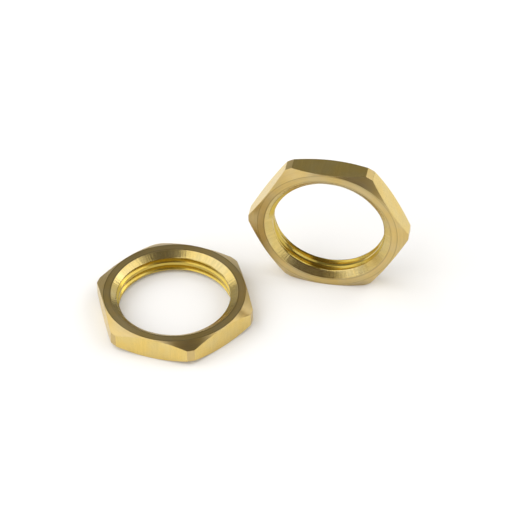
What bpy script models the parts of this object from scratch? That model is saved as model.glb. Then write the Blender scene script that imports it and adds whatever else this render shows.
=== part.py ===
"""A pair of brass hexagon locknuts, M20 x 1.5, that clamp a cable gland to the wall of an enclosure.

One nut lies on its face and the other stands on one of its flats, on the same bench. Both are the
same turned part, so they share one mesh: hexagon bar, turned down at the corners, chamfered and
faced on both sides, countersunk and tapped. Units are metres, +Z is up and the bench is Z = 0.
"""

import math

import bmesh
import bpy
from mathutils import Matrix, Vector

MM = 0.001

# One nut
ACROSS_FLATS = 24.0 * MM
ACROSS_CORNERS = 27.0 * MM
THICKNESS = 4.2 * MM
FACE_DIAMETER = 23.75 * MM
CHAMFER_SLOPE = math.radians(30)
THREAD_MAJOR = 20.0 * MM
THREAD_MINOR = 18.65 * MM
THREAD_PITCH = 1.5 * MM
THREAD_FLANK = math.radians(30)
COUNTERSINK_DIAMETER = 21.2 * MM
COUNTERSINK_SLOPE = math.radians(30)

# How the two nuts stand on the bench
LYING_TURN = math.radians(23.4)
STANDING_OFFSET = Vector((23.8 * MM, 13.0 * MM))
STANDING_TURN = math.radians(210)

# Fineness of the round faces, and how far a cutter runs past what it cuts
SEGMENTS = 72
CLEAR = 1.0 * MM
SLIVER = 0.005 * MM

# Yellow free-cutting brass, as machined
BRASS_COLOUR = (0.72, 0.50, 0.19, 1.0)
BRASS_ROUGHNESS = 0.28


def clear_scene():
    for obj in list(bpy.data.objects):
        bpy.data.objects.remove(obj, do_unlink=True)


def brass():
    material = bpy.data.materials.new("brass")
    material.use_nodes = True
    shader = material.node_tree.nodes["Principled BSDF"]
    shader.inputs["Base Color"].default_value = BRASS_COLOUR
    shader.inputs["Metallic"].default_value = 1.0
    shader.inputs["Roughness"].default_value = BRASS_ROUGHNESS
    material.diffuse_color = BRASS_COLOUR
    return material


def object_from(shape, name):
    """Turns a bmesh into an object of the scene."""
    bmesh.ops.recalc_face_normals(shape, faces=shape.faces)
    mesh = bpy.data.meshes.new(name)
    shape.to_mesh(mesh)
    shape.free()
    obj = bpy.data.objects.new(name, mesh)
    bpy.context.scene.collection.objects.link(obj)
    return obj


def hexagon_bar():
    """A slice of hexagon bar, a little thicker than the nut, with flats facing +X and -X."""
    shape = bmesh.new()
    corner_radius = ACROSS_FLATS / 2 / math.cos(math.pi / 6)
    angles = [math.radians(30 + 60 * side) for side in range(6)]
    foot = -THICKNESS / 2 - CLEAR
    corners = [
        shape.verts.new((corner_radius * math.cos(angle), corner_radius * math.sin(angle), foot))
        for angle in angles
    ]
    shape.faces.new(corners)
    grown = bmesh.ops.extrude_face_region(shape, geom=shape.faces[:])
    top = [item for item in grown["geom"] if isinstance(item, bmesh.types.BMVert)]
    bmesh.ops.translate(shape, vec=(0, 0, THICKNESS + 2 * CLEAR), verts=top)
    return object_from(shape, "hexagon_bar")


def turned(profile, name):
    """A solid of revolution about Z from (radius, height) points that start and end on the axis."""
    shape = bmesh.new()
    points = [shape.verts.new((radius, 0, height)) for radius, height in profile]
    outline = [shape.edges.new(pair) for pair in zip(points, points[1:])]
    bmesh.ops.spin(
        shape,
        geom=points + outline,
        cent=(0, 0, 0),
        axis=(0, 0, 1),
        angle=2 * math.pi,
        steps=SEGMENTS,
        use_merge=True,
    )
    bmesh.ops.remove_doubles(shape, verts=shape.verts, dist=0.001 * MM)
    return object_from(shape, name)


def turned_envelope():
    """What the lathe leaves of the bar: two flat faces, two chamfers and the turned corners."""
    half = THICKNESS / 2
    drop = (ACROSS_CORNERS - FACE_DIAMETER) / 2 * math.tan(CHAMFER_SLOPE)
    corner = ACROSS_CORNERS / 2
    face = FACE_DIAMETER / 2
    lower = [(0, -half), (face, -half), (corner, drop - half)]
    upper = [(radius, -height) for radius, height in reversed(lower)]
    return turned(lower + upper, "turned_envelope")


def countersink_cutter():
    """Two cones, mouth outwards, that meet in a waist narrower than the tapped hole."""
    half = THICKNESS / 2
    slope = math.tan(COUNTERSINK_SLOPE)
    waist = THREAD_MINOR / 2 - CLEAR
    mouth = COUNTERSINK_DIAMETER / 2 + CLEAR / slope
    waist_height = half - (COUNTERSINK_DIAMETER / 2 - waist) * slope
    lower = [(0, -half - CLEAR), (mouth, -half - CLEAR), (waist, -waist_height)]
    upper = [(radius, -height) for radius, height in reversed(lower)]
    return turned(lower + upper, "countersink_cutter")


def tap_profile():
    """(radius, height) of one pitch of the tap, from the foot of one tooth to that of the next."""
    depth = (THREAD_MAJOR - THREAD_MINOR) / 2
    flank = depth * math.tan(THREAD_FLANK)
    tip = THREAD_PITCH / 8
    return [
        (THREAD_MINOR / 2, 0),
        (THREAD_MAJOR / 2, flank),
        (THREAD_MAJOR / 2, flank + tip),
        (THREAD_MINOR / 2, 2 * flank + tip),
    ]


def tap():
    """The tapping tool, a right-hand screw that passes right through the nut."""
    shape = bmesh.new()
    profile = tap_profile()
    turns = math.ceil((THICKNESS + 2 * CLEAR) / THREAD_PITCH) + 1
    start = -turns * THREAD_PITCH / 2
    rows = []
    for step in range(turns * SEGMENTS + 1):
        angle = 2 * math.pi * step / SEGMENTS
        rise = start + THREAD_PITCH * step / SEGMENTS
        row = [
            shape.verts.new((radius * math.cos(angle), radius * math.sin(angle), rise + height))
            for radius, height in profile
        ]
        rows.append(row)
    for row, following in zip(rows, rows[1:]):
        for left, right in zip(range(len(profile) - 1), range(1, len(profile))):
            shape.faces.new((row[left], following[left], following[right], row[right]))
    for row, following, above, above_next in zip(
        rows, rows[1:], rows[SEGMENTS:], rows[SEGMENTS + 1 :]
    ):
        shape.faces.new((row[-1], following[-1], above_next[0], above[0]))
    bottom_rim = [row[0] for row in rows[: SEGMENTS + 1]] + rows[0][:0:-1]
    top_rim = [row[-1] for row in rows[-SEGMENTS - 1 :]] + rows[-1][:-1]
    close_end(shape, bottom_rim, start - THREAD_PITCH)
    close_end(shape, top_rim, start + (turns + 2) * THREAD_PITCH)
    return object_from(shape, "tap")


def close_end(shape, rim, height):
    """Closes an open end of the tap with a low cone to a point on the axis."""
    point = shape.verts.new((0, 0, height))
    for first, second in zip(rim, rim[1:] + rim[:1]):
        shape.faces.new((first, second, point))


def close_slivers(mesh):
    """Merges the points that the cuts leave closer together than any real feature."""
    shape = bmesh.new()
    shape.from_mesh(mesh)
    bmesh.ops.remove_doubles(shape, verts=shape.verts, dist=SLIVER)
    bmesh.ops.dissolve_degenerate(shape, edges=shape.edges, dist=SLIVER)
    bmesh.ops.triangulate(shape, faces=shape.faces)
    shape.to_mesh(mesh)
    shape.free()


def nut_mesh(material):
    """Cuts one nut from its bar, and leaves only its finished mesh."""
    nut = hexagon_bar()
    tools = (
        ("INTERSECT", turned_envelope()),
        ("DIFFERENCE", tap()),
        ("DIFFERENCE", countersink_cutter()),
    )
    for operation, tool in tools:
        cut = nut.modifiers.new(tool.name, "BOOLEAN")
        cut.operation = operation
        cut.object = tool
    bpy.context.view_layer.update()
    finished = nut.evaluated_get(bpy.context.evaluated_depsgraph_get())
    mesh = bpy.data.meshes.new_from_object(finished)
    mesh.name = "locknut"
    close_slivers(mesh)
    mesh.materials.clear()
    mesh.materials.append(material)
    mesh.shade_smooth()
    mesh.set_sharp_from_angle(angle=math.radians(20))
    for obj in [nut] + [tool for _, tool in tools]:
        bpy.data.objects.remove(obj, do_unlink=True)
    return mesh


def place(name, mesh, matrix):
    obj = bpy.data.objects.new(name, mesh)
    obj.matrix_world = matrix
    bpy.context.scene.collection.objects.link(obj)
    return obj


def centre_footprint(objects):
    """Moves the objects over the bench so that the middle of their common box is above the origin."""
    corners = [obj.matrix_world @ vertex.co for obj in objects for vertex in obj.data.vertices]
    middle = [(min(c[i] for c in corners) + max(c[i] for c in corners)) / 2 for i in range(2)]
    shift = Matrix.Translation((-middle[0], -middle[1], 0))
    for obj in objects:
        obj.matrix_world = shift @ obj.matrix_world


def main():
    clear_scene()
    mesh = nut_mesh(brass())
    lying = Matrix.Translation((0, 0, THICKNESS / 2)) @ Matrix.Rotation(LYING_TURN, 4, "Z")
    # The standing nut's thread axis lies along -Y, and one of its flats is on the bench.
    upright = Matrix.Rotation(math.pi / 2, 4, "X") @ Matrix.Rotation(STANDING_TURN, 4, "Z")
    standing = Matrix.Translation((*STANDING_OFFSET, ACROSS_FLATS / 2)) @ upright
    nuts = [
        place("lying_locknut", mesh, lying),
        place("standing_locknut", mesh, standing),
    ]
    centre_footprint(nuts)


main()
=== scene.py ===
"""Two loose brass hexagon locknuts, M20 x 1.5, on a white bench under soft studio light.

Both nuts are the same turned part. Each is modelled finely here, in its own frame with the thread
axis along Z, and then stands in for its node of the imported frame. Lengths are in metres unless a
comment says millimetres.
"""

import math

import bpy
import numpy as np
from mathutils import Matrix, Vector

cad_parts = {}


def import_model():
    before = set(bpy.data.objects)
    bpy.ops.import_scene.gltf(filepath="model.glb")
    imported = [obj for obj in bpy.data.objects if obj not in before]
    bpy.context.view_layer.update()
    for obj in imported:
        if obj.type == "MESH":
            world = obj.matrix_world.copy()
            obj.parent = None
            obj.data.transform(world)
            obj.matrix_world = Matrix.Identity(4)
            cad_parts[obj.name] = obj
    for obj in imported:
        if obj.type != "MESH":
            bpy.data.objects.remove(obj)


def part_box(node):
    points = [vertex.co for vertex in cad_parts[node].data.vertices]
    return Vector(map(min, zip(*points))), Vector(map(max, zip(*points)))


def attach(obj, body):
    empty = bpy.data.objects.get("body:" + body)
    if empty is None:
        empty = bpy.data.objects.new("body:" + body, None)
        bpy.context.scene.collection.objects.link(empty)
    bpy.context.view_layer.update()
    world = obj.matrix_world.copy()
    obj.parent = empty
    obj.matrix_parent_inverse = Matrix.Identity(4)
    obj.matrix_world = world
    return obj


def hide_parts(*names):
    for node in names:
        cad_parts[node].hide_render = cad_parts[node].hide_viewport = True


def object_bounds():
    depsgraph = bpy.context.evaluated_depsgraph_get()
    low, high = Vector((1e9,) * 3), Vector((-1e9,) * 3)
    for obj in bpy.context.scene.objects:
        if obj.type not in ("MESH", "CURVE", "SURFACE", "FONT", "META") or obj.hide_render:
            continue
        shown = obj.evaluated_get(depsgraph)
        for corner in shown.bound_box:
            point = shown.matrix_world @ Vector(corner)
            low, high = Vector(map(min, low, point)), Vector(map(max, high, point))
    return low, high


MM = 0.001
FULL_TURN = 2 * math.pi

# The nut, in millimetres: the same sizes as its CAD node
ACROSS_FLATS = 24.0
CORNER_RADIUS = 13.5
THICKNESS = 4.2
FACE_RADIUS = 11.875
CHAMFER_SLOPE = math.tan(math.radians(30))
SINK_RADIUS = 10.6
SINK_SLOPE = math.tan(math.radians(30))
MAJOR_RADIUS = 10.0
MINOR_RADIUS = 9.325
PITCH = 1.5
FLANK_SLOPE = math.tan(math.radians(30))
ROOT_WIDTH = PITCH / 8
GROOVE_HEIGHT = 0.4835  # of the middle of a groove at angle 0, over the middle of the nut

# Half of the angle that a turned corner takes up
CORNER_REACH = math.pi / 6 - math.acos(ACROSS_FLATS / 2 / CORNER_RADIUS)

# Broken edges, in millimetres
SINK_EDGE = 0.16
FACE_EDGE = 0.16
FLAT_EDGE = 0.08
SOFT = 0.02
THREAD_SOFT = 0.025

# The mesh: pitches of thread from below the nut to above it, and how close to a mouth, in
# millimetres, a point of the wall becomes the mouth's own
PITCHES = 5
PITCHES_BELOW = 3
SNAP = 0.012

# Radii of two lower, darker rings just inside the inner and outer edges of a face, in millimetres
FACE_RINGS = (10.74, 11.77)
RING_WIDTH = 0.1

# How far each nut is turned about its thread axis
LYING_TURN = math.radians(23.4)
STANDING_TURN = math.radians(210)

# Names of what each point of a nut knows about itself
OWN_PLACE, RADIAL, AXIS = "own_place", "radial", "axis"

# Kinds of surface, numbered as their materials are
FACE, CHAMFER, FLAT, CORNER, BORE = range(5)

# Reflectance of each kind of surface
TURNED = (0.64, 0.485, 0.21, 1.0)
DRAWN = (0.79, 0.60, 0.215, 1.0)
SUNK = (0.68, 0.54, 0.225, 1.0)
TAPPED = (0.68, 0.505, 0.11, 1.0)

# What drift, tarnish and dirt leave of each colour of the brass
PALE = (0.97, 1.01, 1.14, 1.0)
DEEP = (1.02, 1.0, 0.87, 1.0)
DULL = (0.90, 0.84, 0.74, 1.0)
DIRT = (0.45, 0.45, 0.45, 1.0)

# How often the brass varies, per metre
CLOUDS = 260.0
DRIFTS = 330.0
GRAINS = 2600.0

# How often its tool marks vary, per metre, or per radius of the nut for the streaks around it
RINGS = 2400.0
LINES_ACROSS = 5200.0
LINES_ALONG = 260.0
STREAKS_AROUND = 27.0
STREAKS_DOWN = 420.0
SCORES = 9000.0

# The bench and the room
BENCH_REACH = 4.0
BENCH_DARK = (0.86, 0.86, 0.86, 1.0)
BENCH_LIGHT = (0.89, 0.89, 0.89, 1.0)
BENCH_GRAIN = 40.0
ROOM_FRONT = (0.143, 0.114, 0.081, 1.0)
ROOM_BACK = (0.25, 0.245, 0.228, 1.0)
BACKDROP = (0.92, 0.92, 0.92, 1.0)

# Rectangular lights: name, azimuth and elevation in degrees, distance, size, radiance
SOFT_LIGHTS = (
    ("softbox_left", -156, 41, 0.8, (1.6, 1.16), 1.30),
    ("softbox_right", 18, 40, 0.8, (0.80, 0.64), 1.43),
    ("panel_top", -124, 76, 0.9, (0.34, 0.34), 0.13),
    ("panel_inner", 2, 64, 0.9, (0.5, 0.12), 0.50),
    ("panel_right", 58, 30, 0.8, (0.40, 0.46), 0.64),
    ("panel_back", 140, 20, 0.8, (0.30, 0.30), 0.27),
)
OVERHEAD_STRENGTH = 1.68
OVERHEAD_LEAN = math.radians(35)
OVERHEAD_ANGLE = math.radians(120)

# The camera: what it aims at from the middle of the object's foot, and how it is turned, in degrees
AIM = Vector((0.00048, 0.00628, 0.00761))
AZIMUTH, ELEVATION, ROLL = 11.2, 42.0, -0.575
LENS_MM = 210.94
CAMERA_DISTANCE = 0.49997


# ---------------------------------------------------------------- shape of the nut


def column_angles():
    """Angles around the nut, closer together where the flats meet the turned corners."""
    edge = math.degrees(CORNER_REACH)
    on_corner = [0.0, 0.9, 1.8, edge - 0.2, edge - 0.07]
    near_edge = [edge + 0.07, edge + 0.2, edge + 0.5, edge + 1.1]
    half = on_corner + near_edge + list(np.linspace(edge + 1.8, 30, 34))
    sector = [30 + a for a in half] + [90 - a for a in half[-2:0:-1]]
    angles = np.radians([a + 60 * side for side in range(6) for a in sector])
    return np.sort(angles % FULL_TURN)


def soft_min(a, b, width):
    return (a + b - np.sqrt((a - b) ** 2 + width**2)) / 2


def soft_max(a, b, width):
    return (a + b + np.sqrt((a - b) ** 2 + width**2)) / 2


def side_radius(angles):
    """Distance from the axis to the flats or, nearer the corners, to the turned corner."""
    from_flat = (angles + math.pi / 6) % (math.pi / 3) - math.pi / 6
    return soft_min(ACROSS_FLATS / 2 / np.cos(from_flat), CORNER_RADIUS, SOFT)


def unit(vectors):
    return vectors / np.linalg.norm(vectors, axis=-1, keepdims=True)


def fillet(before, corner, after, radius, steps=4):
    """Points of an arc that rounds a corner of a section; each point is an array over the angles."""
    into = unit(corner - before)
    out = unit(after - corner)
    turn = np.arccos(np.clip((into * out).sum(-1), -1, 1))[..., None]
    start = corner - into * radius * np.tan(turn / 2)
    normal = unit(out - into * (into * out).sum(-1, keepdims=True))
    centre = start + normal * radius
    swept = [turn * share for share in np.linspace(0, 1, steps)]
    return [centre + radius * (into * np.sin(a) - normal * np.cos(a)) for a in swept]


def between(first, last, count):
    return [first + (last - first) * k / (count + 1) for k in range(1, count + 1)]


def outer_section(angles):
    """Rows of (radius, height) over the outside, from one countersink's mouth to the other's.

    The kind of surface between each row and the next comes with them.
    """
    half = THICKNESS / 2
    side = side_radius(angles)

    def row(radius, height):
        return np.stack([radius + 0 * side, height + 0 * side], -1)

    mouth = row(SINK_RADIUS, half)
    cone = mouth - (1, SINK_SLOPE)
    rim = row(FACE_RADIUS, half)
    shoulder = row(side, half - (side - FACE_RADIUS) * CHAMFER_SLOPE)
    belly = row(side, 0)
    mouth_arc = fillet(cone, mouth, rim, SINK_EDGE)
    rim_arc = fillet(mouth, rim, shoulder, FACE_EDGE)
    side_arc = fillet(rim, shoulder, belly, FLAT_EDGE)
    face = mouth_arc + between(mouth_arc[-1], rim_arc[0], 3) + rim_arc[:2]
    chamfer = rim_arc[2:] + between(rim_arc[-1], side_arc[0], 3) + side_arc[:2]
    flat = side_arc[2:] + between(side_arc[-1], belly, 2)
    upper = face + chamfer + flat
    lower = [points * (1, -1) for points in reversed(upper)]
    kinds = [FACE] * len(face) + [CHAMFER] * len(chamfer) + [FLAT] * len(flat)
    return upper + [belly] + lower, kinds + kinds[::-1]


def groove_rows():
    """Heights over one pitch, from one crest to the next, with rows on each edge of the thread."""
    root = ROOT_WIDTH / 2
    crest = root + (MAJOR_RADIUS - MINOR_RADIUS) * FLANK_SLOPE
    steps = [0.6 * root, root - 0.02, root + 0.02, root + 0.09, root + 0.19, root + 0.29]
    steps += [crest - 0.04, crest - 0.015, crest + 0.01, crest + 0.035, crest + 0.08, crest + 0.16]
    return [-PITCH / 2] + [-s for s in reversed(steps)] + [0] + steps


def thread_radius(over_groove):
    """Radius of the tapped wall at a height over the middle of a groove."""
    offset = (over_groove + PITCH / 2) % PITCH - PITCH / 2
    depth = (MAJOR_RADIUS - MINOR_RADIUS) - (np.abs(offset) - ROOT_WIDTH / 2) / FLANK_SLOPE
    wall = MINOR_RADIUS + soft_max(depth, 0, THREAD_SOFT)
    return soft_min(wall, MAJOR_RADIUS, THREAD_SOFT)


def sink_radius(height):
    return SINK_RADIUS - (THICKNESS / 2 - np.abs(height)) / SINK_SLOPE


def outer_faces(angles, band_kinds):
    """Faces between the rows of the outer section, with the turned corners told from the flats."""
    count = len(angles)
    middle = (angles + np.append(angles[1:], angles[0] + FULL_TURN)) / 2
    on_corner = np.abs(middle % (math.pi / 3) - math.pi / 6) < CORNER_REACH
    faces = []
    kinds = []
    for band, kind in enumerate(band_kinds):
        low, high = band * count, (band + 1) * count
        for i in range(count):
            j = (i + 1) % count
            faces.append((low + i, high + i, high + j, low + j))
            kinds.append(CORNER if kind == FLAT and on_corner[i] else kind)
    return faces, kinds


def bore_wall(angles, vertices, limit, top_ring, bottom_ring):
    """Faces of the wall from mouth to mouth, whose points are added to the vertices.

    The rows climb with the thread, so the last column joins the first one a pitch higher up. A
    point that lies past a mouth, limit from the middle of the nut, becomes the mouth's own.
    """
    pitch_rows = np.array(groove_rows())
    per_turn = len(pitch_rows)
    first = -PITCH * PITCHES_BELOW
    over_groove = np.concatenate([first + PITCH * k + pitch_rows for k in range(PITCHES)])
    threaded = thread_radius(over_groove)
    columns = []
    for i, angle in enumerate(angles):
        heights = GROOVE_HEIGHT + over_groove + PITCH * angle / FULL_TURN
        radii = soft_max(threaded, sink_radius(heights), SOFT)
        column = []
        for height, radius in zip(heights, radii):
            if height <= -limit + SNAP:
                column.append(bottom_ring + i)
            elif height >= limit - SNAP:
                column.append(top_ring + i)
            else:
                column.append(len(vertices))
                vertices.append((radius * math.cos(angle), radius * math.sin(angle), height))
        columns.append(column)
    columns.append(columns[0][per_turn:] + [top_ring] * per_turn)
    faces = []
    for near, far in zip(columns, columns[1:]):
        for j in range(len(over_groove) - 1):
            loop = (near[j], near[j + 1], far[j + 1], far[j])
            loop = tuple(v for k, v in enumerate(loop) if v != loop[k - 1])
            if len(loop) > 2:
                faces.append(loop)
    return faces


def nut_geometry():
    """Vertices in millimetres, faces, and the kind of surface of each face."""
    angles = column_angles()
    rows, band_kinds = outer_section(angles)
    rings = [(row[:, 0] * np.cos(angles), row[:, 0] * np.sin(angles), row[:, 1]) for row in rows]
    vertices = [point for ring in rings for point in zip(*ring)]
    faces, kinds = outer_faces(angles, band_kinds)
    mouth_height = rows[0][0, 1]
    wall = bore_wall(angles, vertices, mouth_height, 0, (len(rows) - 1) * len(angles))
    return np.array(vertices), faces + wall, kinds + [BORE] * len(wall)


def weighted_normals(vertices, faces):
    """Vertex normals that follow the larger faces, so that only the broken edges are shaded round."""
    normals = np.zeros_like(vertices)
    for face in faces:
        p = vertices[list(face)]
        area = np.cross(p[1:-1] - p[0], p[2:] - p[0]).sum(0)
        for v in face:
            normals[v] += area
    return unit(normals)


def nut_mesh(name, place, materials):
    """The nut where it stands, with each point's place in the nut's own frame kept for its marks."""
    vertices, faces, kinds = nut_geometry()
    turn = np.array(place.to_3x3())
    mesh = bpy.data.meshes.new(name)
    mesh.from_pydata((vertices * MM @ turn.T + np.array(place.translation)).tolist(), [], faces)
    mesh.polygons.foreach_set("material_index", kinds)
    mesh.polygons.foreach_set("use_smooth", [True] * len(faces))
    for material in materials:
        mesh.materials.append(material)
    radial = unit(vertices * (1, 1, 0))
    axis = np.zeros_like(vertices) + (0, 0, 1)
    known = {OWN_PLACE: vertices * MM, RADIAL: radial @ turn.T, AXIS: axis @ turn.T}
    for label, values in known.items():
        own = mesh.attributes.new(label, "FLOAT_VECTOR", "POINT")
        own.data.foreach_set("vector", values.ravel())
    normals = weighted_normals(vertices, faces) @ turn.T
    mesh.normals_split_custom_set_from_vertices(normals.tolist())
    mesh.update()
    return mesh


# ---------------------------------------------------------------- brass


class Nodes:
    """Short calls for building a node tree."""

    def __init__(self, tree):
        self.tree = tree

    def add(self, kind, inputs=(), **settings):
        node = self.tree.nodes.new(kind)
        for key, value in settings.items():
            setattr(node, key, value)
        for key, value in dict(inputs).items():
            self.feed(node.inputs[key], value)
        return node

    def feed(self, socket, value):
        if isinstance(value, bpy.types.NodeSocket):
            self.tree.links.new(value, socket)
        else:
            socket.default_value = value

    def math(self, operation, *values, clamp=False):
        node = self.add("ShaderNodeMath", operation=operation, use_clamp=clamp)
        for socket, value in zip(node.inputs, values):
            self.feed(socket, value)
        return node.outputs[0]

    def noise(self, vector, scale, detail=2.0, roughness=0.5):
        inputs = {"Vector": vector, "Scale": scale, "Detail": detail, "Roughness": roughness}
        return self.add("ShaderNodeTexNoise", inputs).outputs["Fac"]

    def spread(self, value, low, high, out_low, out_high):
        inputs = {0: value, 1: low, 2: high, 3: out_low, 4: out_high}
        return self.add("ShaderNodeMapRange", inputs).outputs[0]

    def mix(self, share, first, second, blend_type="MIX"):
        node = self.add("ShaderNodeMix", data_type="RGBA", blend_type=blend_type)
        for socket, value in zip((0, 6, 7), (share, first, second)):
            self.feed(node.inputs[socket], value)
        return node.outputs[2]

    def tint(self, share, colour, what_is_left):
        return self.mix(share, colour, what_is_left, "MULTIPLY")

    def known(self, label):
        return self.add("ShaderNodeAttribute", attribute_name=label).outputs["Vector"]

    def direction(self, label):
        """A direction stored with the points, as it lies in the room."""
        settings = {"vector_type": "VECTOR", "convert_from": "OBJECT", "convert_to": "WORLD"}
        return self.add("ShaderNodeVectorTransform", {0: self.known(label)}, **settings).outputs[0]

    def cross(self, first, second):
        node = self.add("ShaderNodeVectorMath", {0: first, 1: second}, operation="CROSS_PRODUCT")
        return node.outputs[0]

    def vector(self, x, y, z):
        return self.add("ShaderNodeCombineXYZ", {0: x, 1: y, 2: z}).outputs[0]


class Place:
    """Where a point is on its own nut: its place, its distance from the axis and its direction."""

    def __init__(self, n):
        self.point = n.known(OWN_PLACE)
        self.x, self.y, self.z = n.add("ShaderNodeSeparateXYZ", {0: self.point}).outputs
        squares = n.math("ADD", n.math("MULTIPLY", self.x, self.x), n.math("MULTIPLY", self.y, self.y))
        self.radius = n.math("SQRT", squares)
        self.east = n.math("DIVIDE", self.x, self.radius)
        self.north = n.math("DIVIDE", self.y, self.radius)


def new_material(name):
    """A material, the short calls for its node tree, and its shader's inputs."""
    material = bpy.data.materials.new(name)
    material.use_nodes = True
    return material, Nodes(material.node_tree), material.node_tree.nodes["Principled BSDF"].inputs


def held_dirt(n, height, most):
    """Dirt in the low places of a height."""
    return n.spread(height, 0.35, 0.65, most, 0.0)


def turned_marks(n, place):
    """Concentric rings of a facing cut, a few to the millimetre."""
    across = n.vector(n.math("MULTIPLY", place.radius, RINGS), place.east, place.north)
    height = n.noise(across, 1.0, 4.0, 0.7)
    return height, held_dirt(n, height, 0.22)


def ring_marks(n, place):
    """The turned marks of a face, with two lower, darker rings just inside its edges."""
    height, dirt = turned_marks(n, place)
    for ring in FACE_RINGS:
        away = n.math("ABSOLUTE", n.math("SUBTRACT", place.radius, ring * MM))
        groove = n.spread(away, 0.0, RING_WIDTH * MM, 1.0, 0.0)
        height = n.math("SUBTRACT", height, n.math("MULTIPLY", groove, 2.5))
        dirt = n.math("ADD", dirt, n.math("MULTIPLY", groove, 0.7), clamp=True)
    return height, dirt


def drawn_marks(n, place):
    """Lines of the drawn bar, along the thread axis."""
    across = [n.math("MULTIPLY", side, LINES_ACROSS) for side in (place.x, place.y)]
    height = n.noise(n.vector(*across, n.math("MULTIPLY", place.z, LINES_ALONG)), 1.0, 3.0, 0.6)
    return height, held_dirt(n, height, 0.16)


def on_cone(n, place):
    """1 on the cone of a countersink, 0 on the thread, with a soft change between them."""
    depth = n.math("SUBTRACT", THICKNESS / 2 * MM, n.math("ABSOLUTE", place.z))
    cone = n.math("SUBTRACT", SINK_RADIUS * MM, n.math("DIVIDE", depth, SINK_SLOPE))
    return n.spread(n.math("SUBTRACT", place.radius, cone), 0.015 * MM, 0.07 * MM, 1.0, 0.0)


def bore_marks(n, place):
    """Streaks down the countersink, where its cutter chattered, and scores round the thread."""
    around = [n.math("MULTIPLY", share, STREAKS_AROUND) for share in (place.east, place.north)]
    down = n.math("MULTIPLY", place.radius, STREAKS_DOWN)
    streaks = n.noise(n.vector(*around, down), 1.0, 2.0, 0.55)
    force = n.noise(n.vector(place.east, place.north, 0.3), 1.7, 1.0, 0.5)
    chatter = n.math("MULTIPLY", streaks, n.spread(force, 0.35, 0.6, 0.3, 1.0))
    up = n.math("ADD", n.math("MULTIPLY", place.z, SCORES), place.east)
    out = n.math("ADD", n.math("MULTIPLY", place.radius, SCORES), place.north)
    scores = n.math("MULTIPLY", n.noise(n.vector(up, out, 0.0), 1.0, 2.0, 0.55), 0.04)
    cone = on_cone(n, place)
    on_thread = n.math("MULTIPLY", scores, n.math("SUBTRACT", 1.0, cone))
    height = n.math("ADD", n.math("MULTIPLY", chatter, cone), on_thread)
    return height, held_dirt(n, n.math("MULTIPLY", streaks, cone), 0.2)


def brass(name, colour, rough, uneven, marks, depth, lengthways=False, thread_colour=None):
    """Machined brass. marks(nodes, place) gives the height of its tool marks and the dirt they hold.

    rough is the least and the most roughness, and depth is that of the marks, in millimetres. The
    marks run round the nut and scatter what they reflect across themselves, unless they run
    lengthways. Where thread_colour is given, what lies off the countersink's cone has it.
    """
    material, n, shader = new_material(name)
    place = Place(n)
    mark, dirt = marks(n, place)
    cloud = n.noise(place.point, CLOUDS, 4.0, 0.6)
    fine = n.noise(place.point, GRAINS, 3.0, 0.6)
    drift = n.spread(n.noise(place.point, DRIFTS), 0.36, 0.66, 0.0, 1.0)
    tarnish = n.spread(n.math("ADD", cloud, n.math("MULTIPLY", fine, 0.35)), 0.45, 0.95, 0.0, 0.5)
    if thread_colour:
        colour = n.mix(on_cone(n, place), thread_colour, colour)
    metal = n.tint(1.0, colour, n.mix(drift, PALE, DEEP))
    metal = n.tint(dirt, n.tint(tarnish, metal, DULL), DIRT)
    wear = n.math("ADD", n.math("MULTIPLY", fine, 0.6), n.math("MULTIPLY", mark, 0.4))
    grain = n.math("ADD", n.math("MULTIPLY", mark, depth), n.math("MULTIPLY", fine, 0.0003))
    bump = n.add("ShaderNodeBump", {"Height": grain, "Distance": MM, "Strength": 1.0})
    n.feed(shader["Base Color"], metal)
    n.feed(shader["Metallic"], 1.0)
    n.feed(shader["Roughness"], n.spread(wear, 0.25, 0.75, *rough))
    n.feed(shader["Normal"], bump.outputs[0])
    n.feed(shader["Tangent"], n.cross(n.direction(AXIS), n.direction(RADIAL)))
    n.feed(shader["Anisotropic"], uneven)
    n.feed(shader["Anisotropic Rotation"], 0.0 if lengthways else 0.25)
    return material


def make_materials():
    """One material for each kind of surface, in the order of their numbers."""
    return [
        brass("brass_face", TURNED, (0.30, 0.40), 0.6, ring_marks, 0.004),
        brass("brass_chamfer", TURNED, (0.27, 0.35), 0.75, turned_marks, 0.0012),
        brass("brass_flat", DRAWN, (0.20, 0.28), 0.3, drawn_marks, 0.0016, lengthways=True),
        brass("brass_corner", TURNED, (0.26, 0.34), 0.6, turned_marks, 0.001),
        brass("brass_bore", SUNK, (0.17, 0.23), 0.8, bore_marks, 0.028, thread_colour=TAPPED),
    ]


# ---------------------------------------------------------------- setting


def add_object(name, data):
    obj = bpy.data.objects.new(name, data)
    bpy.context.scene.collection.objects.link(obj)
    return obj


def add_nut(name, node, body, turn, materials):
    low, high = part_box(node)
    place = Matrix.Translation((low + high) / 2) @ turn
    obj = add_object(name, nut_mesh(name, place, materials))
    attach(obj, body)
    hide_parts(node)


def add_bench():
    material, n, shader = new_material("bench_white")
    grain = n.noise(n.add("ShaderNodeTexCoord").outputs["Object"], BENCH_GRAIN)
    n.feed(shader["Base Color"], n.mix(grain, BENCH_DARK, BENCH_LIGHT))
    n.feed(shader["Roughness"], 0.9)
    n.feed(shader["Specular IOR Level"], 0.0)
    mesh = bpy.data.meshes.new("bench")
    corners = [(-1, -1, 0), (1, -1, 0), (1, 1, 0), (-1, 1, 0)]
    mesh.from_pydata([Vector(corner) * BENCH_REACH for corner in corners], [], [(0, 1, 2, 3)])
    mesh.materials.append(material)
    add_object("bench", mesh)


def direction_of(azimuth, elevation):
    """Unit vector for an azimuth, anticlockwise from +X, and an elevation."""
    level = math.cos(elevation)
    return Vector((math.cos(azimuth) * level, math.sin(azimuth) * level, math.sin(elevation)))


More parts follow.
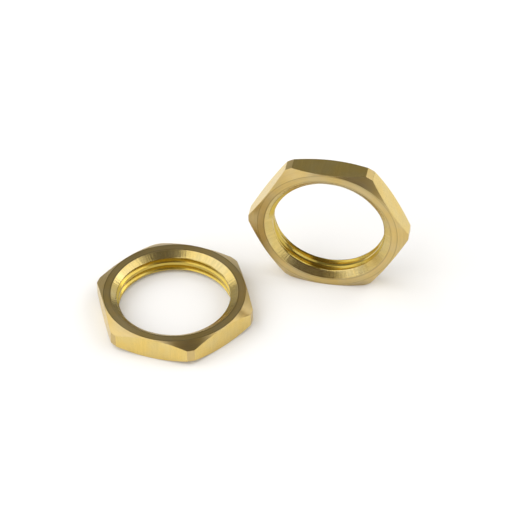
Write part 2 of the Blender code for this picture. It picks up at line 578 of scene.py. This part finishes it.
def add_soft_light(name, azimuth, elevation, distance, size, radiance):
    """A rectangular light that faces the middle of the bench."""
    light = bpy.data.lights.new(name, "AREA")
    light.shape = "RECTANGLE"
    light.size, light.size_y = size
    light.energy = radiance * math.pi * size[0] * size[1]
    obj = add_object(name, light)
    towards = direction_of(math.radians(azimuth), math.radians(elevation))
    obj.location = towards * distance
    obj.rotation_euler = towards.to_track_quat("Z", "Y").to_euler()


def add_overhead():
    """A broad, even light from above and a little in front, too plain to show in the metal."""
    light = bpy.data.lights.new("overhead", "SUN")
    light.energy = OVERHEAD_STRENGTH
    light.angle = OVERHEAD_ANGLE
    obj = add_object("overhead", light)
    obj.rotation_euler = (OVERHEAD_LEAN, 0, 0)
    obj.visible_glossy = False


def add_world():
    """A dim room, a little lighter behind the nuts than in front, seen as a pale backdrop."""
    world = bpy.data.worlds.new("studio")
    bpy.context.scene.world = world
    world.use_nodes = True
    n = Nodes(world.node_tree)
    way = n.add("ShaderNodeTexCoord").outputs["Generated"]
    to_the_back = n.spread(n.add("ShaderNodeSeparateXYZ", {0: way}).outputs[1], -0.8, 0.8, 0.0, 1.0)
    room = n.mix(to_the_back, ROOM_FRONT, ROOM_BACK)
    in_view = n.add("ShaderNodeLightPath").outputs["Is Camera Ray"]
    background = world.node_tree.nodes["Background"].inputs
    n.feed(background["Color"], n.mix(in_view, room, BACKDROP))
    n.feed(background["Strength"], 1.0)


def add_camera(cad_box):
    """The camera stands in front, a little to the right, and looks down with a long lens."""
    low, high = cad_box
    aim = Vector(((low.x + high.x) / 2, (low.y + high.y) / 2, low.z)) + AIM
    azimuth, elevation, roll = (math.radians(a) for a in (AZIMUTH, ELEVATION, ROLL))
    data = bpy.data.cameras.new("camera")
    data.lens = LENS_MM
    data.sensor_width = 36.0
    data.clip_start = 0.05
    data.clip_end = 20.0
    obj = add_object("camera", data)
    turn = Matrix.Rotation(azimuth, 4, "Z") @ Matrix.Rotation(math.pi / 2 - elevation, 4, "X")
    back = direction_of(azimuth - math.pi / 2, elevation) * CAMERA_DISTANCE
    obj.matrix_world = Matrix.Translation(aim + back) @ turn @ Matrix.Rotation(roll, 4, "Z")
    bpy.context.scene.camera = obj


def main():
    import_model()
    cad_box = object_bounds()
    materials = make_materials()
    flat_down = Matrix.Rotation(LYING_TURN, 4, "Z")
    upright = Matrix.Rotation(math.pi / 2, 4, "X") @ Matrix.Rotation(STANDING_TURN, 4, "Z")
    add_nut("locknut_lying", "lying_locknut", "lying_locknut", flat_down, materials)
    add_nut("locknut_standing", "standing_locknut", "standing_locknut", upright, materials)
    add_bench()
    for soft_light in SOFT_LIGHTS:
        add_soft_light(*soft_light)
    add_overhead()
    add_world()
    add_camera(cad_box)
    scene = bpy.context.scene
    scene.view_settings.view_transform = "Standard"
    scene.view_settings.look = "None"


main()
